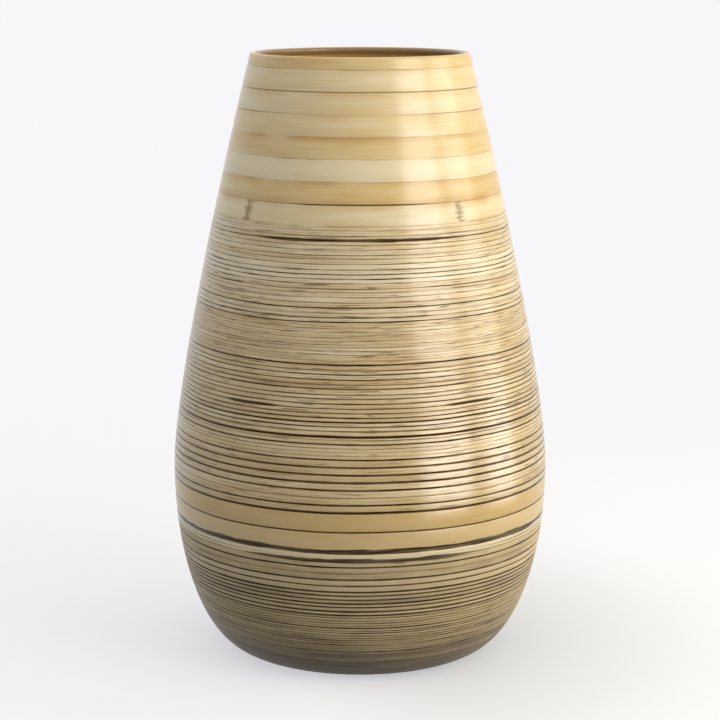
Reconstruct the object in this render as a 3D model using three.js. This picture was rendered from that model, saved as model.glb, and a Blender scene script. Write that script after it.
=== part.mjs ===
// A vase-shaped planter: a two-part metal pot, clad from mouth to foot in hoops of lacquered bamboo strip.
// Millimetres, +Z up. The origin is on the axis, on the surface that the planter stands on.
import * as THREE from "three";

// Outline of the outside: a quarter ellipse from the foot to the belly, then one long curve to the mouth
const HEIGHT = 300; // of the outline's top corner, which the lip rounds off
const MOUTH_RADIUS = 53.8;
const MOUTH_TAPER = 0.25; // radius that the neck gains per millimetre below the mouth
const MOUTH_REACH = 58; // how far down the neck keeps close to that taper
const BELLY_RADIUS = 94;
const BELLY_HEIGHT = 92.5;
const BELLY_REACH = 38; // how far up the wall keeps close to upright
const FOOT_RADIUS = 57.5;
const FOOT_STEP = 0.5; // how far the foot disc stands below the lowest hoop

// Walls, from the outside in
const STRIP_THICKNESS = 2.4;
const GLUE_GAP = 0.3; // between a strip, or the foot disc, and the pot
const POT_WALL = 1.2;

// Lip of the mouth hoop, which caps the edge of the pot
const LIP_ROUND = 2; // height of the rounded top
const LIP_DEPTH = 1; // of the straight inner face under it
const LIP_STEPS = 6; // flats round the top

// Lapped seam where the two halves of the pot meet, at the belly
const SEAM_LAP = 8; // how far the bowl's rim reaches up inside the neck half
const SEAM_GAP = 0.3;
const SEAM_JOGGLE = 4; // length over which the bowl's rim is drawn in

// Widths of the strips, measured along the wall
const BOWL_STRIP = 2.1;
const WAIST_STRIP = 3.2;
const STREAK_STRIP = 4.6;
const BELLY_STRIP = 9.5;
const LINED_STRIP = 3.57;
const KNUCKLE_STRIP = 9.9;
const BROAD_STRIP = 10.55;
const MOUTH_STRIP = 6.5;
const BELLY_HOOP_DROP = 1.7; // from the widest line of the belly down to the top of the belly hoops

// Courses of hoops from the foot up, with the strips that one hoop holds edge to edge.
// The course without a strip width has the strips that fill the wall between its neighbours.
const LOW_COURSES = [
  { name: "foot_hoop", hoops: 7, strips: 4, look: "fine" },
  { name: "bowl_hoop", hoops: 2, strips: 3, width: BOWL_STRIP, look: "fine" },
  { name: "waist_hoop", hoops: 5, strips: 1, width: WAIST_STRIP, look: "fine" },
  { name: "streak_hoop", hoops: 1, strips: 1, width: STREAK_STRIP, look: "pale" },
  { name: "belly_hoop", hoops: 2, strips: 1, width: BELLY_STRIP, look: "tan" },
];
const HIGH_COURSES = [
  { name: "lined_hoop", hoops: 10, strips: 1, width: LINED_STRIP, look: "fine" },
  { name: "shoulder_hoop", hoops: 11, strips: 4, look: "fine" },
  { name: "knuckle_hoop", hoops: 1, strips: 1, width: KNUCKLE_STRIP, look: "pale" },
  { name: "broad_hoop", hoops: 6, strips: 1, width: BROAD_STRIP, look: "pale" },
];

// Fineness of the solids
const SEGMENTS = 32; // round the axis
const MOST_TURN = THREE.MathUtils.degToRad(9); // of the outline between two stations of a hoop
const POT_FLATNESS = 0.1; // most that a flat of the pot may stray from the true curve

const LOOKS = {
  pale: new THREE.MeshStandardMaterial({ color: 0xdcc594, roughness: 0.35, metalness: 0 }),
  tan: new THREE.MeshStandardMaterial({ color: 0xc6a267, roughness: 0.35, metalness: 0 }),
  fine: new THREE.MeshStandardMaterial({ color: 0xb79d6b, roughness: 0.35, metalness: 0 }),
  pot: new THREE.MeshStandardMaterial({ color: 0x5a4028, roughness: 0.45, metalness: 0.6 }),
  disc: new THREE.MeshStandardMaterial({ color: 0x9c8358, roughness: 0.7, metalness: 0 }),
};

const outline = new THREE.Path();
outline.absellipse(
  FOOT_RADIUS,
  BELLY_HEIGHT,
  BELLY_RADIUS - FOOT_RADIUS,
  BELLY_HEIGHT - FOOT_STEP,
  -Math.PI / 2,
  0,
);
const bellyAlong = outline.getLength();
outline.bezierCurveTo(
  BELLY_RADIUS,
  BELLY_HEIGHT + BELLY_REACH,
  MOUTH_RADIUS + MOUTH_TAPER * MOUTH_REACH,
  HEIGHT - MOUTH_REACH,
  MOUTH_RADIUS,
  HEIGHT,
);
outline.updateArcLengths();
const wallLength = outline.getLength();

// Direction of the outline, upwards, at a distance along the wall from the foot
const directionAt = (along) => outline.getTangent(along / wallLength);

// Point of the wall's section: along the wall from the foot, and depth in from the outside, square to it
function wallPoint(along, depth) {
  const point = outline.getPoint(along / wallLength);
  const direction = directionAt(along);
  return new THREE.Vector2(point.x - depth * direction.y, point.y + depth * direction.x);
}

// Places along the wall between two ends, close enough together to follow the outline
function stationsBetween(from, to) {
  const steps = Math.ceil(directionAt(from).angleTo(directionAt(to)) / MOST_TURN) || 1;
  return Array.from({ length: steps + 1 }, (_, i) => from + ((to - from) * i) / steps);
}

// Leaves out the stations that a straight wall between their neighbours passes close enough to
function straightened(stations) {
  const kept = [stations[0]];
  let keptIndex = 0;
  for (let index = 2; index < stations.length; index++) {
    const corner = wallPoint(stations[keptIndex], 0);
    const chord = wallPoint(stations[index], 0).sub(corner).normalize();
    const strays = stations
      .slice(keptIndex + 1, index)
      .map((along) => Math.abs(wallPoint(along, 0).sub(corner).cross(chord)));
    if (Math.max(...strays) > POT_FLATNESS) {
      keptIndex = index - 1;
      kept.push(stations[keptIndex]);
    }
  }
  kept.push(stations.at(-1));
  return kept;
}

// Solid of revolution about +Z from a section that goes up the outside and comes down the inside
function turned(section) {
  return new THREE.LatheGeometry(section, SEGMENTS).rotateX(Math.PI / 2);
}

function closedRing(section) {
  return turned([...section, section[0]]);
}

const planter = new THREE.Group();

function addPiece(name, look, geometry) {
  const piece = new THREE.Mesh(geometry, LOOKS[look]);
  piece.name = name;
  planter.add(piece);
  return piece;
}

// Hoops of bamboo strip, course by course from the foot up

// The courses, with a strip width for the one that fills what the others leave of the wall's length
function filled(courses, length) {
  const taken = courses.reduce((sum, { hoops, strips, width = 0 }) => sum + hoops * strips * width, 0);
  return courses.map((course) => ({ width: (length - taken) / (course.hoops * course.strips), ...course }));
}

const lowLength = bellyAlong - BELLY_HOOP_DROP;
const mouthHoopStart = wallLength - MOUTH_STRIP;

function hoopGeometry(stations) {
  const outside = stations.map((along) => wallPoint(along, 0));
  const inside = stations.map((along) => wallPoint(along, STRIP_THICKNESS));
  return closedRing([...outside, ...inside.reverse()]);
}

const hoopStations = [0];
const courses = [...filled(LOW_COURSES, lowLength), ...filled(HIGH_COURSES, mouthHoopStart - lowLength)];
for (const course of courses) {
  for (let hoop = 1; hoop <= course.hoops; hoop++) {
    const start = hoopStations.at(-1);
    const stations = stationsBetween(start, start + course.strips * course.width);
    const name = course.hoops > 1 ? `${course.name}_${hoop}` : course.name;
    addPiece(name, course.look, hoopGeometry(stations));
    hoopStations.push(...stations.slice(1));
  }
}

// Mouth hoop: a strip whose rounded lip turns in over the edge of the pot

const potDepth = STRIP_THICKNESS + GLUE_GAP;
const wallDepth = potDepth + POT_WALL;
const lipStart = wallLength - LIP_ROUND;
const lipFoot = lipStart - LIP_DEPTH;

function lipPoint(turn) {
  const middle = wallPoint(lipStart, wallDepth / 2);
  const up = directionAt(lipStart);
  const out = new THREE.Vector2(up.y, -up.x);
  return middle
    .addScaledVector(out, (Math.cos(turn) * wallDepth) / 2)
    .addScaledVector(up, Math.sin(turn) * LIP_ROUND);
}

const lipTop = Array.from({ length: LIP_STEPS + 1 }, (_, i) => lipPoint((Math.PI * i) / LIP_STEPS));
addPiece(
  "mouth_hoop",
  "pale",
  closedRing([
    wallPoint(mouthHoopStart, 0),
    ...lipTop,
    wallPoint(lipFoot, wallDepth),
    wallPoint(lipFoot, STRIP_THICKNESS),
    wallPoint(mouthHoopStart, STRIP_THICKNESS),
  ]),
);

// Metal pot in two halves, lapped at the belly: the bowl's rim is drawn in and stands inside the neck half

const potTop = lipFoot - GLUE_GAP;
const rimDepth = wallDepth + SEAM_GAP;
const rimTop = bellyAlong + SEAM_LAP;
const drawnInFrom = bellyAlong - POT_WALL;
const drawnInTo = drawnInFrom - SEAM_JOGGLE;

const bowlStations = straightened([...hoopStations.filter((along) => along < bellyAlong), bellyAlong]);
const bowlOutside = bowlStations.map((along) => wallPoint(along, potDepth));
const bowlInside = [...bowlStations.filter((along) => along < drawnInTo), drawnInTo].map((along) =>
  wallPoint(along, wallDepth),
);
addPiece(
  "pot_bowl",
  "pot",
  turned([
    new THREE.Vector2(0, bowlOutside[0].y),
    ...bowlOutside,
    wallPoint(bellyAlong, rimDepth),
    wallPoint(rimTop, rimDepth),
    wallPoint(rimTop, rimDepth + POT_WALL),
    wallPoint(drawnInFrom, rimDepth + POT_WALL),
    ...bowlInside.reverse(),
    new THREE.Vector2(0, bowlInside.at(-1).y),
  ]),
);

const neckFoot = bellyAlong + SEAM_GAP;
const neckStations = straightened([
  neckFoot,
  ...hoopStations.filter((along) => along > neckFoot && along < potTop),
  potTop,
]);
addPiece(
  "pot_neck",
  "pot",
  closedRing([
    ...neckStations.map((along) => wallPoint(along, potDepth)),
    ...neckStations.map((along) => wallPoint(along, wallDepth)).reverse(),
  ]),
);

// Foot disc: closes the underside inside the lowest hoop, and is what the planter stands on

const discThickness = FOOT_STEP + STRIP_THICKNESS;
const discRadius = FOOT_RADIUS - GLUE_GAP;
const footDisc = addPiece(
  "foot_disc",
  "disc",
  new THREE.CylinderGeometry(discRadius, discRadius, discThickness, SEGMENTS).rotateX(Math.PI / 2),
);
footDisc.position.z = discThickness / 2;

export default planter;
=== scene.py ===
"""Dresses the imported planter: every strip of its bamboo hoops, the enamelled pot in them and the foot disc.

Metres, +Z up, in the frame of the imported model. The photographed front is towards -Y, and the photo's right
towards +X.
"""
from __future__ import annotations

import logging
import math
import random
from collections.abc import Callable, Mapping, Sequence
from dataclasses import dataclass, field, replace
from enum import Enum
from functools import partial
from typing import Any

import bpy
import numpy as np
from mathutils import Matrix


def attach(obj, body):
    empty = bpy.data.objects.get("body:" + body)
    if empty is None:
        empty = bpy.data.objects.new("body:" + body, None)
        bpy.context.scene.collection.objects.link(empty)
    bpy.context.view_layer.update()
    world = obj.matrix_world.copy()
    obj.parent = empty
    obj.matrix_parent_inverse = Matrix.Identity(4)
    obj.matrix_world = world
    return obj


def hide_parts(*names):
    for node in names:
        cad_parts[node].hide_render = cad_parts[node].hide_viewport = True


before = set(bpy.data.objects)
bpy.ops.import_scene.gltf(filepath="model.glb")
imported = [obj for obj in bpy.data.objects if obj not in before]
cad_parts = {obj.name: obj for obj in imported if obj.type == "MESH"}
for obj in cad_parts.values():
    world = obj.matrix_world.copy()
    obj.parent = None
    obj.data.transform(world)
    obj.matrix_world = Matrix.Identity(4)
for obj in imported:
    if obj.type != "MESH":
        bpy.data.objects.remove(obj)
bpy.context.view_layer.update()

log = logging.getLogger("planter")

MM = 0.001
BODY = "root"
ALL_ROUND = 2 * math.pi
# Settings of nodes: a range that eases in and out, and a mix of two colours
SMOOTH = {"interpolation_type": "SMOOTHSTEP"}
RGBA = {"data_type": "RGBA", "out": 2}

NodeAdder = Callable[..., Any]
Socket = bpy.types.NodeSocket
Sockets = Mapping[str, Socket]
Pair = tuple[float, float]
Triple = tuple[float, float, float]
# From and to which value of its source something changes, and from and to what if not from 0 to 1
Ramp = tuple[float, ...]


def srgb(hex_colour: str) -> tuple[float, float, float, float]:
    """Turns an sRGB hex colour into the linear colour that nodes take.

    Args:
        hex_colour: Six hex digits, such as "c6a267".

    Returns:
        Linear red, green and blue, with alpha 1.
    """
    shares = [int(hex_colour[at:at + 2], 16) / 255 for at in (0, 2, 4)]
    linear = [share / 12.92 if share <= 0.04045 else ((share + 0.055) / 1.055) ** 2.4 for share in shares]
    return linear[0], linear[1], linear[2], 1.0


def add_node(
    tree: bpy.types.NodeTree,
    kind: str,
    inputs: Mapping[int | str, Any] | Sequence[Any] = (),
    out: int | str = 0,
    **settings: Any,
) -> Any:
    """Adds one node with its settings, its fixed inputs and its links.

    Args:
        tree: Tree that gets the node.
        kind: Blender's name of the node type; a shader node's goes without ShaderNode in front, and a math
            node's is followed by a colon and its operation.
        inputs: Each input, in order or by index or name; a socket is linked, any other value is fixed.
        out: Index or name of the output to return.
        **settings: Properties of the node itself.

    Returns:
        The asked output socket, or the node where it has no output.
    """
    kind, _, operation = kind.partition(":")
    node = tree.nodes.new(kind if "Node" in kind else f"ShaderNode{kind}")
    if operation:
        node.operation = operation
    for name, value in settings.items():
        setattr(node, name, value)
    for key, value in inputs.items() if isinstance(inputs, Mapping) else enumerate(inputs):
        if isinstance(value, Socket):
            tree.links.new(value, node.inputs[key])
        else:
            node.inputs[key].default_value = value
    return node.outputs[out] if len(node.outputs) else node


def open_nodes(owner: bpy.types.Material | bpy.types.World) -> NodeAdder:
    """Gives a material or the world an empty node tree.

    Args:
        owner: The material or world.

    Returns:
        What adds a node to the tree.
    """
    owner.use_nodes = True
    owner.node_tree.nodes.clear()
    return partial(add_node, owner.node_tree)


def drawn_noise(add: NodeAdder, source: Socket, sizes: Sequence[float], detail: float) -> Socket:
    """Makes a noise that is drawn out along the axes.

    Args:
        add: Adds a node to the tree.
        source: Coordinates.
        sizes: Size of its spots along each axis, in the unit of the coordinates.
        detail: Octaves of finer noise in it.

    Returns:
        The noise, from 0 to 1.
    """
    spread = add("VectorMath:MULTIPLY", (source, [1 / size for size in sizes]))
    return add("TexNoise", {"Vector": spread, "Scale": 1.0, "Detail": detail})


def angle_off(add: NodeAdder, place: Socket, middle: Socket, half_period: Socket) -> Socket:
    """Makes the angle round the axis from the nearest of some evenly spaced places.

    Args:
        add: Adds a node to the tree.
        place: Coordinates.
        middle: Angle of one of the places, from the front towards the right.
        half_period: Half of the angle between two of them.

    Returns:
        The angle, to both sides of zero.
    """
    across, along, _ = add("SeparateXYZ", (place,)).node.outputs
    angle = add("Math:ARCTAN2", (across, add("Math:MULTIPLY", (along, -1.0))))
    off = add("Math:SUBTRACT", (angle, middle))
    return add("Math:WRAP", (off, half_period, add("Math:MULTIPLY", (half_period, -1.0))))


def shown(add: NodeAdder) -> Socket:
    """Makes the value that is 1 for what the camera sees, itself or in a reflection.

    Args:
        add: Adds a node to the tree.

    Returns:
        The socket with the value.
    """
    path = add("LightPath").node.outputs
    seen = path["Is Camera Ray"]
    for ray in ("Is Glossy Ray", "Is Transmission Ray"):
        seen = add("Math:MAXIMUM", (seen, path[ray]))
    return seen


class Bamboo(Enum):
    """The looks of strip, each with the record's material slot that it belongs to."""

    PALE = ("pale", "bamboo_pale")
    TAN = ("tan", "bamboo_tan")
    FINE = ("fine", "bamboo_fine")
    WAXED = ("waxed", "bamboo_fine")

    @property
    def slot(self) -> str:
        """Material slot of the record."""
        return self.value[1]


# What the attributes of a strip's section hold for its finish
PACKED = {
    "strip": ("tone", "dashes", "along_mm"),
    "seam": ("gap_mm", "half_mm", "ink"),
    "seam_run": ("broken", "key", "stain"),
    "seam_arc": ("arc_middle", "arc_half", "arc_period"),
    "seam_end": ("end_ink", "end_width"),
    "coat": ("coat",),
}
# Length along the strip and width across it in millimetres, and octaves, of the noises on the wall and
# along the seams. Real fibres are about 0.2 mm wide, too fine to show, and are drawn twice as coarse
WALL_NOISES = {
    "fibre": (24.0, 0.42, 3.0),
    "cloud": (38.4, 6.0, 2.0),
    "hair": (45.0, 0.42, 2.0),
    "dash": (13.0, 0.55, 1.0),
    "ragged": (19.8, 2.45, 2.0),
}
SEAM_NOISES = {"run": (26.0, 1.0, 1.0), "swell": (11.0, 0.7, 1.0)}
# Marks that grow with a noise: the noise, from and to which value of it, and from and to what
MARKED_BY = {
    "patchy": ("run", 0.35, 0.65, 0.3, 1.0),
    "hairy": ("hair", 0.48, 0.62, 0.0, 0.45),
    "thinned": ("run", 0.36, 0.6, 0.05, 1.0),
    "swollen": ("swell", 0.45, 0.75, -0.2, 0.8),
    "frayed": ("ragged", 0.35, 0.65, -0.3, 0.22),
    "dashed": ("dash", 0.6, 0.7),
    "sooty": ("fibre", 0.45, 0.62, 0.0, 0.8),
    "fringed": ("fibre", 0.35, 0.65, 0.7, 1.0),
}


@dataclass(frozen=True)
class LacqueredBamboo:
    """Split bamboo strip, planed, glued up and brushed with satin lacquer.

    The eye gets long fibres along the strip, amber stain and dark glue at its edges, and a soft sheen.
    """

    name: str
    light: str
    middle: str
    deep: str
    stain: str = "be8c34"
    glue: str = "6b4a1e"
    ink: str = "2c1804"
    soot: str = "6b6552"
    scar: str = "90763b"
    # Brown of the lip's inner face: the pot's coat, darkened as painted shade of the mouth
    inside: str = "94764a"
    sheen: str = "ffffff"
    glue_sheen: str = "a87f4e"
    roughness: float = 0.22
    roughness_sway: float = 0.1
    specular_level: float = 0.6
    fibre_strength: float = 0.2
    fibre_height_mm: float = 0.04
    cloud_share: float = 0.8
    fibre_share: float = 0.9
    stain_fades_mm: Ramp = (0.0, 4.5, 1.0, 0.0)
    wide_mm: Ramp = (0.55, 0.95)
    thick_ink: Ramp = (0.4, 0.85)
    arc_full: float = 0.5
    least_lively: float = 0.15
    line_inner: float = 0.7
    line_outer: float = 1.2
    line_soft_mm: float = 0.05

    def material(self) -> bpy.types.Material:
        """Builds the material.

        Returns:
            The finished node material.
        """
        material = bpy.data.materials.new(self.name)
        add = open_nodes(material)
        value = self.values(add)
        colour, dark = self.marked(add, value, self.strip_colour(add, value))
        # The inside of the lip takes a brown darker than the pot's enamel: partly the pot's brown coat run up
        # the lip, partly painted shade of the mouth
        colour = add("Mix", {0: value["coat"], 6: colour, 7: srgb(self.inside)}, **RGBA)
        # The lacquer has its full sheen on the strips and less on the sunken glue
        sheen = add("Mix", {0: dark, 6: srgb(self.sheen), 7: srgb(self.glue_sheen)}, **RGBA)
        fibre, sway = value["fibre"], self.roughness_sway
        rough = add("MapRange", (fibre, 0.0, 1.0, self.roughness - sway, self.roughness + sway))
        rise = self.fibre_height_mm * MM
        bump = add("Bump", {"Strength": self.fibre_strength, "Distance": rise, "Height": fibre})
        surface = {"Base Color": colour, "Roughness": rough, "IOR": 1.5, "Normal": bump}
        lacquer = {"Specular IOR Level": self.specular_level, "Specular Tint": sheen}
        add("OutputMaterial", {"Surface": add("BsdfPrincipled", surface | lacquer)})
        return material

    def values(self, add: NodeAdder) -> dict[str, Socket]:
        """Reads what the strip's section holds for the finish, and makes noises drawn out along it.

        Args:
            add: Adds a node to the tree.

        Returns:
            A socket for each named value, noise and mark.
        """
        value = {"knuckle": add("Attribute", out="Fac", attribute_name="knuckle")}
        for attribute, names in PACKED.items():
            packed = add("Attribute", out="Vector", attribute_name=attribute)
            value.update(zip(names, add("SeparateXYZ", (packed,)).node.outputs))
        plan_mm = add("VectorMath:MULTIPLY", (add("TexCoord", out="Object"), (1 / MM, 1 / MM, 0)))
        # Millimetres round the wall in plan, and up it along its outline or by the seam's own number
        for up, noises in ((value["along_mm"], WALL_NOISES), (value["key"], SEAM_NOISES)):
            source = add("VectorMath:ADD", (plan_mm, add("CombineXYZ", {2: up})))
            for name, (length, width, detail) in noises.items():
                value[name] = drawn_noise(add, source, (length, length, width), detail)
        for name, (noise, *ramp) in MARKED_BY.items():
            value[name] = add("MapRange", (value[noise], *ramp), **SMOOTH)
        return value

    def strip_colour(self, add: NodeAdder, value: Sockets) -> Socket:
        """Colours the bare strip: its own tone, slow clouds, fine fibres, stain at its seams and hairlines.

        Args:
            add: Adds a node to the tree.
            value: Named values.

        Returns:
            The colour socket.
        """
        middle = -(self.cloud_share + self.fibre_share) / 2
        shift = add("Math:MULTIPLY_ADD", (value["cloud"], self.cloud_share, middle))
        shift = add("Math:MULTIPLY_ADD", (value["fibre"], self.fibre_share, shift))
        bare = add("ValToRGB", (add("Math:ADD", (value["tone"], shift), use_clamp=True),))
        tones = bare.node.color_ramp.elements
        tones[0].color = srgb(self.light)
        tones[1].color = srgb(self.deep)
        tones.new(0.5).color = srgb(self.middle)

        soaked = add("MapRange", (value["gap_mm"], *self.stain_fades_mm), **SMOOTH)
        for share in ("stain", "patchy"):
            soaked = add("Math:MULTIPLY", (soaked, value[share]))
        colour = add("Mix", {0: soaked, 6: bare, 7: srgb(self.stain)}, **RGBA)
        hair = add("Math:MULTIPLY", (value["hairy"], value["dashes"]))
        return add("Mix", {0: hair, 6: colour, 7: srgb(self.glue)}, **RGBA)

    def marked(self, add: NodeAdder, value: Sockets, colour: Socket) -> tuple[Socket, Socket]:
        """Draws the dark marks over a strip: its seams, short dashes and the scars of the knuckles.

        Args:
            add: Adds a node to the tree.
            value: Named values.
            colour: Colour of the bare strip.

        Returns:
            Sockets of the colour, and of how dark with glue a place is.
        """
        # A seam is full in the middle of its arc round the wall, and fainter and thinner outside it
        half_period = add("Math:MULTIPLY", (value["arc_period"], 0.5))
        off = angle_off(add, add("TexCoord", out="Object"), value["arc_middle"], half_period)
        off = add("Math:ABSOLUTE", (off,))
        full = add("Math:MULTIPLY", (value["arc_half"], self.arc_full))
        ink_gate, width_gate = (
            add("MapRange", (off, full, value["arc_half"], 1.0, value[end]), **SMOOTH)
            for end in ("end_ink", "end_width")
        )

        # It thins out along its run
        strength = value["ink"]
        for share in (ink_gate, add("Mix", {0: value["broken"], 2: 1.0, 3: value["thinned"]})):
            strength = add("Math:MULTIPLY", (strength, share))

        # It swells here and there, and a wide one has ragged edges
        lively = add("Math:ADD", (value["broken"], self.least_lively))
        lens = add("Math:MULTIPLY_ADD", (value["swollen"], lively, 1.0))
        wide = add("MapRange", (value["half_mm"], *self.wide_mm), **SMOOTH)
        reach = value["half_mm"]
        for share in (add("Math:MULTIPLY_ADD", (wide, value["frayed"], lens)), width_gate):
            reach = add("Math:MULTIPLY", (reach, share))
        inner = add("Math:MULTIPLY", (reach, self.line_inner))
        outer = add("Math:MULTIPLY_ADD", (reach, self.line_outer, self.line_soft_mm))
        line = add("MapRange", (value["gap_mm"], inner, outer, 1.0, 0.0), **SMOOTH)
        line = add("Math:MULTIPLY", (line, strength))
        dashed = add("Math:MULTIPLY", (value["dashed"], value["dashes"]))
        dark = add("Math:MAXIMUM", (line, dashed), use_clamp=True)

        # Thin glue is brown, thick glue nearly black, and a wide streak sooty grey in places
        thick = add("MapRange", (strength, *self.thick_ink), **SMOOTH)
        inked = add("Mix", {0: thick, 6: srgb(self.glue), 7: srgb(self.ink)}, **RGBA)
        sooty = add("Math:MULTIPLY", (value["sooty"], wide))
        inked = add("Mix", {0: sooty, 6: inked, 7: srgb(self.soot)}, **RGBA)
        colour = add("Mix", {0: dark, 6: colour, 7: inked}, **RGBA)

        # The scar of a knuckle is fringed by the fibres that run into it
        scarred = add("Math:MULTIPLY", (value["knuckle"], value["fringed"]))
        return add("Mix", {0: scarred, 6: colour, 7: srgb(self.scar)}, **RGBA), dark


@dataclass(frozen=True)
class TwoTone:
    """Plain finish of two tones, whose colour follows one noise and whose gloss follows another."""

    name: str
    light: str
    deep: str
    roughness: Pair
    bump_strength: float
    bump_height_mm: float
    tone_mm: Triple
    gloss_mm: Triple
    gloss_bump: float
    detail: float
    tone_window: Pair = (0.3, 0.7)

    def material(self) -> bpy.types.Material:
        """Builds the material.

        Returns:
            The finished node material.
        """
        material = bpy.data.materials.new(self.name)
        add = open_nodes(material)
        place = add("TexCoord", out="Object")
        tone, gloss = (
            drawn_noise(add, place, [size * MM for size in sizes], self.detail)
            for sizes in (self.tone_mm, self.gloss_mm)
        )
        colour = add("ValToRGB", (tone,))
        ends = colour.node.color_ramp.elements
        for end, at, shade in zip(ends, self.tone_window, (self.deep, self.light)):
            end.position = at
            end.color = srgb(shade)
        rough = add("MapRange", (gloss, 0.0, 1.0, *self.roughness))
        height = add("Math:MULTIPLY_ADD", (gloss, self.gloss_bump, tone))
        rise = self.bump_height_mm * MM
        bump = add("Bump", {"Strength": self.bump_strength, "Distance": rise, "Height": height})
        surface = {"Base Color": colour, "Roughness": rough, "IOR": 1.5, "Normal": bump}
        add("OutputMaterial", {"Surface": add("BsdfPrincipled", surface)})
        return material


# Spun sheet steel, sprayed inside with brown enamel: the eye gets an even golden brown with a satin gloss,
# faint orange peel and rings left by the spinning tool
ENAMELLED_STEEL = TwoTone(
    "sheet_steel_sprayed_brown_enamel",
    light="cda463",
    deep="a98149",
    roughness=(0.18, 0.34),
    bump_strength=0.2,
    bump_height_mm=0.05,
    tone_mm=(250.0, 250.0, 3.0),
    gloss_mm=(1.6, 1.6, 1.6),
    gloss_bump=0.5,
    detail=2.0,
)
# Bamboo plywood, sanded and left bare: the eye gets straight grain across the disc, short dark pores and a
# dull, dry surface
SANDED_PLY = TwoTone(
    "bamboo_ply_sanded",
    light="b99c6c",
    deep="94774a",
    roughness=(0.6, 0.78),
    bump_strength=0.3,
    bump_height_mm=0.1,
    tone_mm=(40.0, 1.2, 1.2),
    gloss_mm=(40.0, 1.2, 1.2),
    gloss_bump=0.0,
    detail=3.0,
)


@dataclass(frozen=True)
class PaperSweep:
    """Matt white paper under the planter, which runs out into the backdrop.

    The eye gets a pale and even floor that keeps the soft shadow.
    """

    backdrop: str
    name: str = "paper_sweep_matt_white"
    paper: str = "b0b0b0"
    glow: str = "c1c1c5"
    glow_right: str = "a8aaae"
    bounce: str = "383838"
    runs_out: Ramp = (0.2, 0.7)
    right: Ramp = (-0.03, 0.06)
    beside: Ramp = (0.07, 0.24, 1.0, 0.0)

    def material(self) -> bpy.types.Material:
        """Builds the material.

        Returns:
            The finished node material.
        """
        material = bpy.data.materials.new(self.name)
        add = open_nodes(material)
        place = add("TexCoord", out="Object")
        distance = add("VectorMath:LENGTH", (place,), "Value")
        # Beside the planter, the side towards the panels glows a little less, so that the floor looks even
        right = add("MapRange", (add("SeparateXYZ", (place,)), *self.right), **SMOOTH)
        beside = add("MapRange", (distance, *self.beside), **SMOOTH)
        less = add("Math:MULTIPLY", (right, beside))
        even = add("Mix", {0: less, 6: srgb(self.glow), 7: srgb(self.glow_right)}, **RGBA)
        glow = add("Emission", {"Color": even})
        near = add("AddShader", (glow, add("BsdfDiffuse", {"Color": srgb(self.paper)})))
        sweep = add("Emission", {"Color": srgb(self.backdrop), "Strength": 1.0})
        far = add("MapRange", (distance, *self.runs_out), **SMOOTH)
        look = add("MixShader", (far, near, sweep))
        both = add("MixShader", (shown(add), add("BsdfDiffuse", {"Color": srgb(self.bounce)}), look))
        # Seen from below it is clear, so that the underside can be looked at
        under = add("NewGeometry", out="Backfacing")
        surface = add("MixShader", (under, both, add("BsdfTransparent")))
        add("OutputMaterial", {"Surface": surface})
        return material


@dataclass
class Outline:
    """The planter's outside as a path up its wall, by the distance along it from the foot."""

    height: float = 300 * MM
    mouth_radius: float = 53.8 * MM
    mouth_taper: float = 0.25
    mouth_reach: float = 58 * MM
    belly_radius: float = 93.95 * MM
    belly_height: float = 92.5 * MM
    belly_reach: float = 38 * MM
    foot_radius: float = 57.5 * MM
    foot_step: float = 0.5 * MM
    samples: int = 3000
    belly_along: float = field(init=False)
    length: float = field(init=False)

    def __post_init__(self) -> None:
        """Samples the quarter ellipse to the belly and the curve from there to the mouth."""
        turn = np.linspace(-math.pi / 2, 0, self.samples)
        bowl_radius = self.foot_radius + (self.belly_radius - self.foot_radius) * np.cos(turn)
        bowl_height = self.belly_height + (self.belly_height - self.foot_step) * np.sin(turn)
        share = np.linspace(0, 1, self.samples)[1:, None]
        corners = np.array([
            (self.belly_radius, self.belly_height),
            (self.belly_radius, self.belly_height + self.belly_reach),
            (self.mouth_radius + self.mouth_taper * self.mouth_reach, self.height - self.mouth_reach),
            (self.mouth_radius, self.height),
        ])
        weights = ((1 - share) ** 3, 3 * share * (1 - share) ** 2, 3 * share ** 2 * (1 - share), share ** 3)
        neck = sum(weight * corner for weight, corner in zip(weights, corners))
        self._path = np.vstack((np.column_stack((bowl_radius, bowl_height)), neck))
        steps = np.linalg.norm(np.diff(self._path, axis=0), axis=1)
        self._along = np.concatenate(([0.0], np.cumsum(steps)))
        heading = np.gradient(self._path, self._along, axis=0)
        self._heading = heading / np.linalg.norm(heading, axis=1)[:, None]
        self.belly_along = float(self._along[self.samples - 1])
        self.length = float(self._along[-1])

    def heading(self, along: float) -> Pair:
        """Direction of the wall, upwards.

        Args:
            along: Distance up the wall from the foot.

        Returns:
            Radial and vertical parts of the direction.
        """
        parts = [float(np.interp(along, self._along, self._heading[:, axis])) for axis in (0, 1)]
        size = math.hypot(*parts)
        return parts[0] / size, parts[1] / size

    def point(self, along: float, depth: float) -> Pair:
        """Point of the wall's section.

        Args:
            along: Distance up the wall from the foot.
            depth: Distance in from the outside, square to it.

        Returns:
            Radius and height.
        """
        radius, height = (float(np.interp(along, self._along, self._path[:, axis])) for axis in (0, 1))
        out, up = self.heading(along)
        return radius - depth * up, height + depth * out


@dataclass(frozen=True)
class Seam:
    """Dark glue line between two strips, full in the middle of its arc round the wall."""

    along: float
    ink: float
    half_mm: float
    broken: float
    stain: float
    key: float
    stain_above: float = 0.3
    middle: float = 0.0
    half_arc: float = ALL_ROUND
    period: float = ALL_ROUND
    end_ink: float = 0.3
    end_width: float = 0.3


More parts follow.
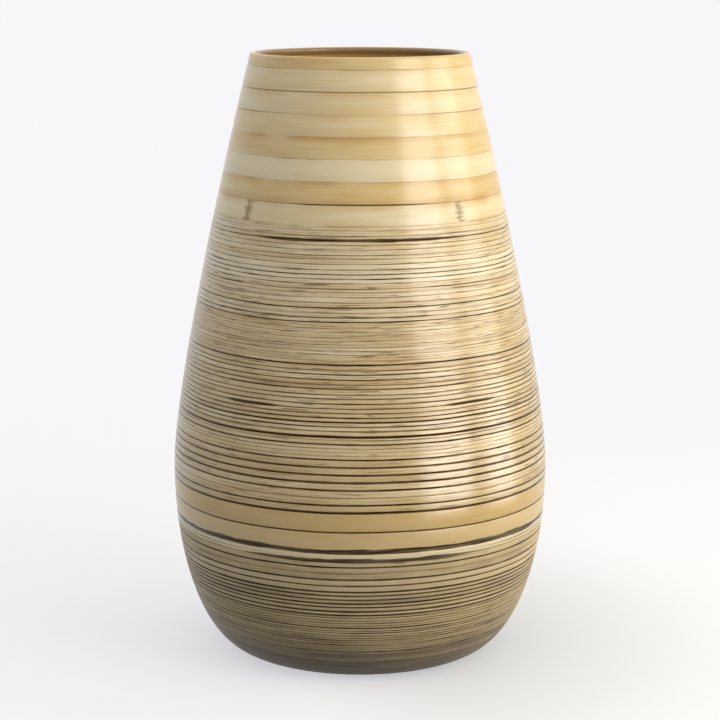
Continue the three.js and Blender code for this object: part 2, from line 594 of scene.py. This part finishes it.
@dataclass(frozen=True)
class StripStyle:
    """Strips of a hoop, and the ranges that they and their seams are drawn from."""

    tone: Pair
    ink: Pair = (0.0, 0.0)
    half_mm: Pair = (0.2, 0.2)
    broken: float = 0.0
    stain: float = 0.0
    dashes: float = 0.0
    strips: int = 1
    stain_range: Pair = (0.5, 1.0)
    key_range: Pair = (0, 900)

    def seam(self, dice: random.Random, along: float) -> Seam:
        """Draws the seam under a strip.

        Args:
            dice: Seeded source of the random values.
            along: Where the seam lies up the wall.

        Returns:
            A seam that runs all round.
        """
        return Seam(
            along=along,
            ink=dice.uniform(*self.ink),
            half_mm=dice.uniform(*self.half_mm),
            broken=self.broken,
            stain=self.stain * dice.uniform(*self.stain_range),
            key=dice.uniform(*self.key_range),
        )


@dataclass(frozen=True)
class Course:
    """Hoops of one kind, one above the other; those without a width fill what the others leave."""

    name: str
    bamboo: Bamboo
    styles: tuple[StripStyle, ...]
    hoop_width: float = 0.0


@dataclass(frozen=True)
class Place:
    """Where a strip begins up the wall, and what it belongs to."""

    hoop: str
    number: int
    bamboo: Bamboo
    style: StripStyle
    along: float


@dataclass(frozen=True)
class Strip:
    """One strip of a hoop, between its lower and its upper seam."""

    tone: float
    dashes: float
    low: Seam
    high: Seam


@dataclass
class Section:
    """Closed or open section of a turned piece, as points in the half plane with values for the finish."""

    points: list[Pair] = field(default_factory=list)
    values: dict[str, list[Triple]] = field(default_factory=dict)

    def add(self, point: Pair, **values: Triple) -> None:
        """Adds a point.

        Args:
            point: Radius and height.
            **values: Three numbers for each named attribute of the finish.
        """
        self.points.append(point)
        for name, value in values.items():
            self.values.setdefault(name, []).append(value)


class Lathe:
    """Node tree that turns a section about +Z, lets it wander by hand and raises knuckles on it."""

    PATH_RADIUS = 100 * MM
    MERGED = 0.002 * MM
    SHARP_TURN = math.radians(40)
    FADE_IN = 30 * MM
    FADE_OUT = 20 * MM
    CROOK = 2 * MM
    CROOK_SIZES = (3.5 * MM,) * 3
    FEATHER_SIZES = (7 * MM, 7 * MM, 0.9 * MM)
    FEATHERED: Ramp = (0.35, 0.65, 0.55, 1.6)
    KINDS = {"Section": "Geometry", "Steps Round": "Int", "Material": "Material"}
    # Settings of a piece that is turned true
    PLAIN = {
        "Steps Round": 160,
        "Wander": 0.0,
        "Wander Length": 1.0,
        "Wander Bottom": 0.0,
        "Wander Top": 1.0,
        "Knuckles": 1.0,
        "Knuckle Turn": 0.0,
        "Knuckle Width": 1 * MM,
        "Knuckle Height": 0.0,
    }

    def __init__(self) -> None:
        """Builds the tree with its named inputs."""
        self.tree = bpy.data.node_groups.new("turned_hoop", "GeometryNodeTree")
        new_socket = self.tree.interface.new_socket
        self.inputs = {}
        for name in ("Section", *self.PLAIN, "Material"):
            kind = f"NodeSocket{self.KINDS.get(name, 'Float')}"
            self.inputs[name] = new_socket(name=name, in_out="INPUT", socket_type=kind).identifier
        new_socket(name="Piece", in_out="OUTPUT", socket_type="NodeSocketGeometry")
        add = partial(add_node, self.tree)
        given = add("NodeGroupInput").node.outputs

        section = add("GeometryNodeMeshToCurve", {"Mesh": given["Section"]})
        circle = {"Resolution": given["Steps Round"], "Radius": self.PATH_RADIUS}
        path = add("GeometryNodeCurvePrimitiveCircle", circle)
        ring = add("GeometryNodeCurveToMesh", {"Curve": path, "Profile Curve": section})
        ring = add("GeometryNodeMergeByDistance", {"Geometry": ring, "Distance": self.MERGED})

        # A slow wander up and down, alike for all hoops at one place, that fades out at mouth and foot; the
        # noise keeps mostly within a quarter of its middle, and is spread to both sides of zero
        place = add("GeometryNodeInputPosition")
        height = add("SeparateXYZ", (place,), 2)
        loops = add("Math:DIVIDE", (1.0, given["Wander Length"]))
        sway = add("TexNoise", {"Vector": place, "Scale": loops, "Detail": 1.0})
        sway = add("Math:MULTIPLY_ADD", (sway, 4.0, -2.0))
        bottom, top = given["Wander Bottom"], given["Wander Top"]
        low = add("MapRange", (height, bottom, add("Math:ADD", (bottom, self.FADE_IN))))
        high = add("MapRange", (height, add("Math:ADD", (top, -self.FADE_OUT)), top, 1.0, 0.0))
        for share in (low, high, given["Wander"]):
            sway = add("Math:MULTIPLY", (sway, share))

        # Knuckles: evenly spaced ridges across the strip, each crooked and feathered, kept for the finish
        half_period = add("Math:DIVIDE", (math.pi, given["Knuckles"]))
        off = angle_off(add, place, given["Knuckle Turn"], half_period)
        radius = add("VectorMath:LENGTH", (add("VectorMath:MULTIPLY", (place, (1, 1, 0))),), "Value")
        crook = drawn_noise(add, place, self.CROOK_SIZES, 1.0)
        crook = add("Math:MULTIPLY_ADD", (crook, 2 * self.CROOK, -self.CROOK))
        off = add("Math:ABSOLUTE", (add("Math:MULTIPLY_ADD", (off, radius, crook)),))
        feather = add("MapRange", (drawn_noise(add, place, self.FEATHER_SIZES, 1.0), *self.FEATHERED))
        width = add("Math:MULTIPLY", (given["Knuckle Width"], feather))
        ridge = add("MapRange", (off, 0.0, width, 1.0, 0.0), interpolation_type="SMOOTHERSTEP")
        has = add("Math:GREATER_THAN", (given["Knuckle Height"], 0.0))
        ridge = add("Math:MULTIPLY", (ridge, has))
        ring = add("GeometryNodeStoreNamedAttribute", {"Geometry": ring, "Name": "knuckle", "Value": ridge})
        rise = add("Math:MULTIPLY", (ridge, given["Knuckle Height"]))
        bulge = add("VectorMath:SCALE", {0: add("GeometryNodeInputNormal"), "Scale": rise})
        move = add("VectorMath:ADD", (add("CombineXYZ", {2: sway}), bulge))
        ring = add("GeometryNodeSetPosition", {"Geometry": ring, "Offset": move})

        # Round faces are shaded smooth, and edges as sharp as a strip's corner are kept
        ring = add("GeometryNodeSetShadeSmooth", {"Geometry": ring, "Shade Smooth": True})
        sharp = add("Math:GREATER_THAN", (add("GeometryNodeInputMeshEdgeAngle"), self.SHARP_TURN))
        corners = {"Geometry": ring, "Selection": sharp, "Shade Smooth": False}
        ring = add("GeometryNodeSetShadeSmooth", corners, domain="EDGE")
        ring = add("GeometryNodeRealizeInstances", {"Geometry": ring})
        ring = add("GeometryNodeSetMaterial", {"Geometry": ring, "Material": given["Material"]})
        add("NodeGroupOutput", (ring,))

    def turn(
        self, name: str, section: Section, closed: bool, settings: Mapping[str, Any]
    ) -> bpy.types.Object:
        """Turns a section into a plain mesh object.

        Args:
            name: Name of the piece.
            section: Points that go up the outside and come down the inside.
            closed: Whether the last point joins the first; an open section starts and ends on the axis.
            settings: Values of the tree's inputs, where they aren't those of a piece that is turned true.

        Returns:
            The finished object, at the origin, with no modifier left on it.
        """
        count = len(section.points)
        # The path's normal points away from the axis and its other side down, so heights are turned over
        corners = [(radius - self.PATH_RADIUS, -height, 0.0) for radius, height in reversed(section.points)]
        edges = [(at, at + 1) for at in range(count - 1)] + ([(count - 1, 0)] if closed else [])
        mesh = bpy.data.meshes.new(name)
        mesh.from_pydata(corners, edges, [])
        for attribute, values in section.values.items():
            layer = mesh.attributes.new(attribute, "FLOAT_VECTOR", "POINT")
            layer.data.foreach_set("vector", np.array(values[::-1], dtype=np.float32).ravel())
        piece = bpy.data.objects.new(name, mesh)
        bpy.context.scene.collection.objects.link(piece)
        modifier = piece.modifiers.new("turned", "NODES")
        modifier.node_group = self.tree
        for key, value in {**self.PLAIN, **settings}.items():
            modifier[self.inputs[key]] = value
        graph = bpy.context.evaluated_depsgraph_get()
        turned = bpy.data.meshes.new_from_object(
            piece.evaluated_get(graph), preserve_all_data_layers=True, depsgraph=graph
        )
        piece.modifiers.clear()
        piece.data = turned
        bpy.data.meshes.remove(mesh)
        turned.name = name
        return piece


def hand_over(piece: bpy.types.Object, node: str, slot: str) -> None:
    """Lets a finished piece stand for its CAD node.

    Args:
        piece: The finished piece.
        node: CAD node that it replaces.
        slot: Material slot of the record that the piece belongs to; not used.
    """
    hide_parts(node)
    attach(piece, BODY)
    log.info("%s: %d faces, for node %s", piece.name, len(piece.data.polygons), node)


# Round of a strip's edge: distance from the seam in half widths of the groove, and share of its depth
EDGE = ((0.0, 1.0), (0.5, 0.42), (1.0, 0.12), (1.8, 0.0))
# Arcs of a seam that is full in two places round the wall
FRONT_AND_BACK = {"middle": 0.0, "period": math.pi}
BOTH_SIDES = {"middle": math.pi / 2, "period": math.pi}
# Seams that stand out in the photo, by the hoop and the strip above them: ink, half width in millimetres,
# and what else is their own
MARKS = {
    ("foot_hoop_4", 0): (0.85, 0.26, {}),
    ("foot_hoop_5", 0): (0.9, 0.3, {}),
    ("foot_hoop_5", 3): (0.9, 0.3, {}),
    ("foot_hoop_6", 0): (0.95, 0.32, {}),
    ("foot_hoop_7", 0): (0.95, 0.36, {"broken": 0.1}),
    ("waist_hoop_1", 0): (1.0, 0.5, {}),
    ("waist_hoop_4", 0): (0.5, 0.5, {"broken": 0.4}),
    ("streak_hoop", 0): (0.95, 1.25, {"half_arc": 0.7, "end_ink": 0.7, "end_width": 0.2, **FRONT_AND_BACK}),
    ("streak_hoop", 1): (0.9, 0.26, {"half_arc": 1.1, **BOTH_SIDES}),
    ("streak_hoop", 2): (0.8, 0.2, {"half_arc": 0.9, **BOTH_SIDES}),
    ("belly_hoop_1", 0): (1.0, 1.35, {"half_arc": 1.75, "end_ink": 0.9, **FRONT_AND_BACK}),
    ("belly_hoop_2", 0): (0.95, 0.4, {}),
    ("lined_hoop_1", 0): (1.0, 0.64, {"broken": 0.0}),
    ("lined_hoop_2", 0): (1.0, 0.44, {}),
    ("lined_hoop_3", 0): (0.7, 0.22, {}),
    ("lined_hoop_4", 0): (1.0, 0.46, {}),
    ("lined_hoop_5", 0): (1.0, 0.58, {}),
    ("lined_hoop_6", 0): (1.0, 0.5, {}),
    ("lined_hoop_8", 0): (1.0, 0.4, {"broken": 0.1}),
    ("lined_hoop_10", 0): (1.0, 0.4, {"broken": 0.1}),
    ("shoulder_hoop_1", 0): (1.0, 0.62, {"broken": 0.0}),
    ("shoulder_hoop_1", 3): (1.0, 0.42, {"broken": 0.0}),
    ("shoulder_hoop_2", 2): (1.0, 0.7, {
        "broken": 0.0, "middle": -0.62, "half_arc": 0.2, "period": ALL_ROUND / 5, "end_ink": 0.9,
        "end_width": 0.35,
    }),
    ("shoulder_hoop_4", 3): (1.0, 0.42, {"broken": 0.1}),
    ("shoulder_hoop_7", 0): (1.0, 0.32, {"broken": 0.2}),
    ("shoulder_hoop_7", 3): (1.0, 0.32, {"broken": 0.1}),
    ("shoulder_hoop_9", 2): (0.9, 0.28, {"broken": 0.1}),
    ("shoulder_hoop_11", 1): (1.0, 0.8, {
        "broken": 0.1, "half_arc": 0.8, "end_ink": 0.95, "end_width": 0.4, **FRONT_AND_BACK,
    }),
    ("broad_hoop_1", 0): (0.95, 0.32, {
        "broken": 0.0, "half_arc": 0.6, "stain_above": 1.2, "end_ink": 0.5, "end_width": 0.5,
        **FRONT_AND_BACK,
    }),
    ("broad_hoop_5", 0): (0.62, 0.27, {"broken": 0.2, "half_arc": 1.25, "end_width": 0.6, **BOTH_SIDES}),
    ("broad_hoop_6", 0): (0.66, 0.27, {"broken": 0.0}),
}


@dataclass
class HoopSkin:
    """All the bamboo hoops, from the foot to the mouth, with every strip of them."""

    outline: Outline
    lathe: Lathe
    strip_thickness: float = 2.4 * MM
    wall_depth: float = 3.9 * MM
    groove_share: float = 0.3
    groove_most: float = 0.12 * MM
    groove_half: float = 0.26 * MM
    groove_room: float = 0.4
    culm_radius: float = 80 * MM
    flat_step: float = 1.5 * MM
    knuckle_flat_step: float = 0.4 * MM
    seam_lean: float = 1.2
    least_side: float = 0.15
    side_gap: float = 0.01 * MM
    lip_drop: float = 2.16 * MM
    lip_round: float = 2 * MM
    lip_depth: float = 0.9 * MM
    lip_steps: int = 20
    lip_square: float = 0.7
    lip_coat_turn: float = 0.5 * math.pi
    belly_hoop_drop: float = 1.7 * MM
    knuckle_steps_round: int = 960
    knuckle_height: float = 0.12 * MM
    uneven: float = 0.16
    seed: int = 11
    turned: Mapping[str, float] = field(default_factory=lambda: {
        "Steps Round": 192,
        "Wander": 0.3 * MM,
        "Wander Length": 60 * MM,
        "Wander Bottom": 30 * MM,
        "Wander Top": 290 * MM,
        "Knuckles": 4.0,
        "Knuckle Turn": math.radians(-48.5),
        "Knuckle Width": 3.2 * MM,
    })

    def __post_init__(self) -> None:
        """Lists the courses and makes the finishes."""
        foot = StripStyle((0.35, 0.6), (0.65, 1.0), (0.18, 0.28), broken=0.3, dashes=0.3, strips=5)
        dim = replace(foot, ink=(0.5, 0.8), half_mm=(0.16, 0.24))
        # The lowest hoops take the deepest tones: painted shade that darkens the foot towards the floor
        foot_tones_painted_shade = ((1.0, 1.1), (1.0, 1.1), (0.95, 1.05), (0.72, 0.92), (0.46, 0.7))
        feet = (*(replace(dim, tone=tone) for tone in foot_tones_painted_shade), foot, foot)
        bowl = StripStyle((0.15, 0.6), (0.95, 1.0), (0.36, 0.48), broken=0.1, strips=3)
        waist = StripStyle((0.15, 0.6), (0.95, 1.0), (0.38, 0.5), broken=0.1, dashes=0.2)
        streak = StripStyle((0.0, 0.2), strips=3)
        belly = (StripStyle((0.05, 0.05)), StripStyle((0.4, 0.4)))
        lined = StripStyle((0.42, 0.62), (0.92, 1.0), (0.34, 0.5), broken=0.1, dashes=0.5)
        parted = replace(lined, ink=(0.5, 0.9), half_mm=(0.16, 0.24), broken=0.4, strips=2)
        even = StripStyle((0.35, 0.6), (0.75, 1.0), (0.26, 0.42), broken=0.2, dashes=0.65, strips=4)
        mottled = StripStyle((0.33, 0.53), (0.45, 0.8), (0.13, 0.2), broken=0.45, dashes=0.75, strips=6)
        lively = StripStyle((0.2, 0.45), (0.6, 0.95), (0.18, 0.3), broken=0.4, dashes=0.65, strips=4)
        pale_fine = replace(lively, tone=(0.0, 0.1), dashes=0.4)
        crisp = StripStyle((0.2, 0.45), (0.55, 0.9), (0.17, 0.26), broken=0.3, dashes=0.5, strips=4)
        shoulder = (even,) * 4 + (mottled,) * 2 + (lively,) * 2 + (pale_fine,) + (crisp,) * 2
        faint = StripStyle((0.0, 0.0), (0.3, 0.6), (0.12, 0.2), broken=0.8)
        knuckle = replace(faint, tone=(0.2, 0.2), stain=0.5)
        broad = tuple(
            replace(faint, tone=(tone, tone), stain=stain)
            for tone, stain in ((0.6, 0.6), (0.05, 0.7), (0.55, 0.3), (0.35, 1.0), (0.25, 0.6), (0.3, 0.5))
        )
        mouth = StripStyle((0.6, 0.6), (0.5, 0.6), (0.16, 0.2), broken=0.6, stain=0.5)
        self.low_courses = (
            Course("foot_hoop", Bamboo.WAXED, feet),
            Course("bowl_hoop", Bamboo.WAXED, (bowl,) * 2, 6.3 * MM),
            Course("waist_hoop", Bamboo.WAXED, (waist,) * 5, 3.2 * MM),
            Course("streak_hoop", Bamboo.PALE, (streak,), 4.6 * MM),
            Course("belly_hoop", Bamboo.TAN, belly, 9.5 * MM),
        )
        self.high_courses = (
            Course("lined_hoop", Bamboo.FINE, (lined,) * 7 + (parted,) * 3, 3.57 * MM),
            Course("shoulder_hoop", Bamboo.FINE, shoulder),
            Course("knuckle_hoop", Bamboo.PALE, (knuckle,), 9.9 * MM),
            Course("broad_hoop", Bamboo.PALE, broad, 10.55 * MM),
            Course("mouth_hoop", Bamboo.PALE, (mouth,), 6.5 * MM),
        )
        pale = LacqueredBamboo("bamboo_strip_planed_lacquered_pale", "e7d8b2", "dec489", "cea45a")
        tan = LacqueredBamboo("bamboo_strip_planed_lacquered_tan", "d3b986", "c9a969", "bb934f")
        fine = LacqueredBamboo("bamboo_strip_split_fine_lacquered", "e9d9b6", "d5bc8a", "b1915c")
        # The waxed strips' grey dark deep colour, taken by the lowest hoops, is painted shade near the floor
        waxed = LacqueredBamboo(
            "bamboo_strip_split_fine_waxed", "dfcda9", "c7b38c", "7f7668", roughness=0.4, specular_level=0.2
        )
        self.materials = {look: finish.material() for look, finish in zip(Bamboo, (pale, tan, fine, waxed))}

    def places(self, dice: random.Random) -> list[Place]:
        """Lays the strips of all hoops out along the wall, the strips of one hoop a little uneven.

        Args:
            dice: Seeded source of the random values.

        Returns:
            The strips' places from the foot up.
        """
        low_length = self.outline.belly_along - self.belly_hoop_drop
        high_length = self.outline.length - low_length
        sized = []
        for courses, length in ((self.low_courses, low_length), (self.high_courses, high_length)):
            left = length - sum(len(course.styles) * course.hoop_width for course in courses)
            sized += [(course, course.hoop_width or left / len(course.styles)) for course in courses]
        places = []
        start = 0.0
        for course, hoop_width in sized:
            for hoop, style in enumerate(course.styles, 1):
                name = f"{course.name}_{hoop}" if len(course.styles) > 1 else course.name
                strip_width = hoop_width / style.strips
                for number in range(style.strips):
                    shift = dice.uniform(-self.uneven, self.uneven) if number else 0.0
                    along = start + strip_width * (number + shift)
                    places.append(Place(name, number, course.bamboo, style, along))
                start += hoop_width
        return places

    def wall_value(self, along: float, seam: Seam, strip: Strip) -> dict[str, Triple]:
        """Values for the finish at one place of a strip.

        Args:
            along: Distance up the wall.
            seam: The nearer of the strip's seams.
            strip: The strip.

        Returns:
            The named attributes.
        """
        stain = seam.stain * (seam.stain_above if seam is strip.low else 1.0)
        return {
            "strip": (strip.tone, strip.dashes, along / MM),
            "seam": (abs(along - seam.along) / MM, seam.half_mm, seam.ink),
            "seam_run": (seam.broken, seam.key, stain),
            "seam_arc": (seam.middle, seam.half_arc, seam.period),
            "seam_end": (seam.end_ink, seam.end_width, 0.0),
        }

    def strip_face(self, strip: Strip, flat_step: float) -> list[tuple[float, float, Seam]]:
        """Outside of a strip, from its lower seam up: a crowned face whose round edges dip into the seams.

        Args:
            strip: The strip.
            flat_step: About how far apart the points of its face lie.

        Returns:
            For each point the distance up the wall, the depth in from the outside and the seam that counts.
        """
        width = strip.high.along - strip.low.along
        crown = width ** 2 / (8 * self.culm_radius)
        # The wider seam reaches further over the strip
        lean = self.seam_lean * (strip.low.half_mm - strip.high.half_mm) * MM / 2
        split = min(max(width / 2 + lean, self.least_side * width), (1 - self.least_side) * width)
        face = []
        for seam, room, upwards in ((strip.low, split, 1), (strip.high, width - split, -1)):
            groove = min(self.groove_most, self.groove_share * seam.half_mm * MM)
            groove_half = min(self.groove_half, self.groove_room * room)
            flats = max(1, round(room / flat_step))
            gaps = [share * groove_half for share, _ in EDGE]
            gaps += list(np.linspace(gaps[-1], room - self.side_gap, flats + 1)[1:])
            dips = [share * groove for _, share in EDGE] + [0.0] * flats
            side = [
                (seam.along + upwards * gap, dip + crown * (1 - 2 * gap / width) ** 2, seam)
                for gap, dip in zip(gaps, dips)
            ]
            face += side[::upwards]
        return face

    def hoop_section(self, strips: Sequence[Strip], flat_step: float) -> Section:
        """Section of a hoop whose strips lie edge to edge.

        Args:
            strips: Strips from the lowest up.
            flat_step: About how far apart the points of their faces lie.

        Returns:
            The closed section.
        """
        # Neighbours share the point at their seam
        outside = [
            (*point, strip)
            for at, strip in enumerate(strips)
            for point in self.strip_face(strip, flat_step)[min(at, 1):]
        ]
        inside = [(strip.high.along, self.strip_thickness, strip.high, strip) for strip in reversed(strips)]
        first = strips[0]
        inside.append((first.low.along, self.strip_thickness, first.low, first))
        section = Section()
        for along, depth, seam, strip in outside + inside:
            section.add(self.outline.point(along, depth), **self.wall_value(along, seam, strip))
        return section

    def mouth_section(self, strip: Strip) -> Section:
        """Section of the mouth hoop: its strip, and the rounded lip that turns in over the pot's edge.

        Args:
            strip: The strip, from its lower seam to the top of the outline.

        Returns:
            The closed section.
        """
        section = Section()
        bare, coated = (0.0, 0.0, 0.0), (1.0, 0.0, 0.0)
        lip_start = self.outline.length - self.lip_drop
        lip_foot = lip_start - self.lip_depth
        for along, dip, seam in self.strip_face(strip, self.flat_step):
            if along < lip_start and seam is strip.low:
                value = self.wall_value(along, seam, strip)
                section.add(self.outline.point(along, dip), coat=bare, **value)
        out, up = self.outline.heading(lip_start)
        radius, height = self.outline.point(lip_start, self.wall_depth / 2)
        for step in range(self.lip_steps + 1):
            turn = math.pi * step / self.lip_steps
            level = math.cos(turn)
            across = math.copysign(abs(level) ** self.lip_square, level) * self.wall_depth / 2
            over = math.sin(turn) ** self.lip_square * self.lip_round if 0 < step < self.lip_steps else 0.0
            point = (radius + across * up + over * out, height - across * out + over * up)
            along = lip_start + over + (self.wall_depth if turn > math.pi / 2 else 0)
            # Past the top of the lip the strip takes the inside brown: the pot's coat and painted shade of
            # the mouth
            coat = coated if turn > self.lip_coat_turn else bare
            section.add(point, coat=coat, **self.wall_value(along, strip.low, strip))
        for along, depth in (
            (lip_foot, self.wall_depth),
            (lip_foot, self.strip_thickness),
            (strip.low.along, self.strip_thickness),
        ):
            value = self.wall_value(along, strip.low, strip)
            section.add(self.outline.point(along, depth), coat=coated, **value)
        return section

    def build(self) -> None:
        """Builds, dresses and hands over every hoop."""
        dice = random.Random(self.seed)
        places = self.places(dice)
        seams = []
        for place in places:
            seam = place.style.seam(dice, place.along)
            if (place.hoop, place.number) in MARKS:
                ink, half_mm, own = MARKS[place.hoop, place.number]
                seam = replace(seam, ink=ink, half_mm=half_mm, **own)
            seams.append(seam)
        seams.append(Seam(self.outline.length + self.wall_depth, 0, 0, 0, 0, 0))
        hoops: dict[tuple[str, Bamboo], list[Strip]] = {}
        for place, low, high in zip(places, seams, seams[1:]):
            strip = Strip(dice.uniform(*place.style.tone), place.style.dashes, low, high)
            hoops.setdefault((place.hoop, place.bamboo), []).append(strip)
        for (node, bamboo), strips in hoops.items():
            self.build_hoop(node, bamboo, strips)

    def build_hoop(self, node: str, bamboo: Bamboo, strips: Sequence[Strip]) -> None:
        """Builds one hoop and hands it over.

        Args:
            node: CAD node of the hoop.
            bamboo: Look of its strips.
            strips: The strips from the lowest up.
        """
        settings = {**self.turned, "Material": self.materials[bamboo]}
        if node == "mouth_hoop":
            section = self.mouth_section(strips[0])
        elif node == "knuckle_hoop":
            settings |= {"Steps Round": self.knuckle_steps_round, "Knuckle Height": self.knuckle_height}
            section = self.hoop_section(strips, self.knuckle_flat_step)
        else:
            section = self.hoop_section(strips, self.flat_step)
        hand_over(self.lathe.turn(f"strip_{node}", section, True, settings), node, bamboo.slot)


@dataclass
class InnerPot:
    """Watertight pot in two spun halves, the bowl's drawn-in rim standing inside the neck half."""

    outline: Outline
    lathe: Lathe
    outside_depth: float = 2.7 * MM
    wall: float = 1.2 * MM
    lip_foot: float = 3 * MM
    glue_gap: float = 0.3 * MM
    seam_lap: float = 8 * MM
    seam_gap: float = 0.3 * MM
    seam_joggle: float = 4 * MM
    stations: int = 40

    def build(self) -> None:
        """Builds, dresses and hands over both halves."""
        settings = {"Material": ENAMELLED_STEEL.material()}
        bowl, neck = self.bowl_section(), self.neck_section()
        for node, section, closed in (("pot_bowl", bowl, False), ("pot_neck", neck, True)):
            hand_over(self.lathe.turn(f"steel_{node}", section, closed, settings), node, "pot_metal")

    def bowl_section(self) -> Section:
        """Section of the lower half, from the axis under the floor to the axis on top of it.

        Returns:
            The open section.
        """
        inside = self.outside_depth + self.wall
        rim = inside + self.seam_gap
        belly = self.outline.belly_along
        drawn_from = belly - self.wall
        wall = [
            *((along, self.outside_depth) for along in np.linspace(0, belly, self.stations)),
            (belly, rim),
            (belly + self.seam_lap, rim),
            (belly + self.seam_lap, rim + self.wall),
            (drawn_from, rim + self.wall),
            *((along, inside) for along in np.linspace(drawn_from - self.seam_joggle, 0, self.stations)),
        ]
        points = [self.outline.point(along, depth) for along, depth in wall]
        return Section([(0.0, points[0][1]), *points, (0.0, points[-1][1])])

    def neck_section(self) -> Section:
        """Section of the upper half, from the seam to under the mouth hoop's lip.

        Returns:
            The closed section.
        """
        low = self.outline.belly_along + self.seam_gap
        high = self.outline.length - self.lip_foot - self.glue_gap
        outside = np.linspace(low, high, self.stations)
        inside = np.linspace(high, low, self.stations)
        return Section([
            *(self.outline.point(along, self.outside_depth) for along in outside),
            *(self.outline.point(along, self.outside_depth + self.wall) for along in inside),
        ])


@dataclass
class FootDisc:
    """Disc that closes the underside inside the lowest hoop, with its edges eased."""

    lathe: Lathe
    radius: float = 57.2 * MM
    thickness: float = 2.9 * MM
    ease: float = 0.4 * MM
    ease_round: float = 0.3

    def build(self) -> None:
        """Builds, dresses and hands over the disc."""
        eased = self.ease_round * self.ease
        section = Section([
            (0.0, 0.0),
            (self.radius - self.ease, 0.0),
            (self.radius - eased, eased),
            (self.radius, self.ease),
            (self.radius, self.thickness - self.ease),
            (self.radius - self.ease, self.thickness),
            (0.0, self.thickness),
        ])
        piece = self.lathe.turn("ply_foot_disc", section, False, {"Material": SANDED_PLY.material()})
        hand_over(piece, "foot_disc", "disc_ply")


class Shows(Enum):
    """What a panel of light is for: the shading of surfaces, or the reflection in their gloss."""

    SHADE = "shade"
    GLOSS = "gloss"


@dataclass(frozen=True)
class Panel:
    """Soft upright panel of light that faces the planter, turned from the front towards the right."""

    name: str
    shows: Shows
    turn_deg: float
    distance: float
    middle_height: float
    width: float
    height: float
    watts: float
    tint: str

    def build(self) -> None:
        """Builds the lamp."""
        lamp = bpy.data.lights.new(self.name, "AREA")
        lamp.shape = "RECTANGLE"
        lamp.size = self.width
        lamp.size_y = self.height
        lamp.energy = self.watts
        lamp.color = srgb(self.tint)[:3]
        panel = bpy.data.objects.new(self.name, lamp)
        turn = math.radians(self.turn_deg)
        across, along = self.distance * math.sin(turn), -self.distance * math.cos(turn)
        panel.location = (across, along, self.middle_height)
        panel.rotation_euler = (math.pi / 2, 0, turn)
        panel.visible_camera = False
        panel.visible_diffuse = self.shows is Shows.SHADE
        panel.visible_glossy = self.shows is Shows.GLOSS
        bpy.context.scene.collection.objects.link(panel)


@dataclass
class Studio:
    """Pale floor and backdrop, soft light from the right, and the photo's camera."""

    camera_distance: float = 1.0695
    camera_height: float = 0.3508
    camera_pitch_deg: float = 10.857
    lens_mm: float = 108.145
    sensor_mm: float = 36.0
    floor_half: float = 4.0
    floor_drop: float = 0.2 * MM
    backdrop: str = "f7f6f9"
    sky_light: float = 0.95
    panels: tuple[Panel, ...] = (
        Panel("front_right_panel", Shows.SHADE, 56, 1.1, 0.475, 0.74, 0.75, 7.3, "fff5e2"),
        Panel("right_panel", Shows.SHADE, 100, 1.1, 0.425, 1.03, 0.85, 5.6, "fff2b2"),
        Panel("front_right_gloss", Shows.GLOSS, 51.3, 0.8, 0.36, 0.43, 0.72, 3.85, "f8f9ff"),
        Panel("right_gloss", Shows.GLOSS, 88, 0.8, 0.36, 0.36, 0.72, 2.3, "f6faff"),
        Panel("low_front_right_gloss", Shows.GLOSS, 48, 0.42, 0.07, 0.21, 0.14, 0.42, "f8f9ff"),
        Panel("low_right_gloss", Shows.GLOSS, 87, 0.42, 0.07, 0.163, 0.14, 0.3, "fafaff"),
    )

    def build(self) -> None:
        """Builds the floor, the lights and the camera."""
        self.world()
        self.floor()
        for panel in self.panels:
            panel.build()
        self.camera()

    def world(self) -> None:
        """White to the camera and in reflections, and soft light from all round otherwise."""
        scene = bpy.context.scene
        scene.view_settings.view_transform = "Standard"
        scene.world = bpy.data.worlds.new("studio")
        add = open_nodes(scene.world)
        seen = add("Background", {"Color": srgb(self.backdrop), "Strength": 1.0})
        light = add("Background", {"Strength": self.sky_light})
        add("OutputWorld", {"Surface": add("MixShader", (shown(add), light, seen))})

    def floor(self) -> None:
        """Pale floor, a hair below the planter so that their faces don't coincide."""
        mesh = bpy.data.meshes.new("floor")
        half = self.floor_half
        sides = ((-half, -half), (half, -half), (half, half), (-half, half))
        mesh.from_pydata([(*corner, -self.floor_drop) for corner in sides], [], [(0, 1, 2, 3)])
        mesh.materials.append(PaperSweep(self.backdrop).material())
        floor = bpy.data.objects.new("floor", mesh)
        bpy.context.scene.collection.objects.link(floor)

    def camera(self) -> None:
        """Camera of the photo: a long lens, a little above the mouth and looking down."""
        lens = bpy.data.cameras.new("camera")
        lens.sensor_width = self.sensor_mm
        lens.lens = self.lens_mm
        camera = bpy.data.objects.new("camera", lens)
        camera.location = (0, -self.camera_distance, self.camera_height)
        camera.rotation_euler = (math.radians(90 - self.camera_pitch_deg), 0, 0)
        bpy.context.scene.collection.objects.link(camera)
        bpy.context.scene.camera = camera


def main() -> None:
    """Builds the planter piece by piece, then the studio."""
    logging.basicConfig(level=logging.INFO, format="%(name)s: %(message)s")
    outline = Outline()
    lathe = Lathe()
    HoopSkin(outline, lathe).build()
    InnerPot(outline, lathe).build()
    FootDisc(lathe).build()
    Studio().build()


if __name__ == "__main__":
    main()
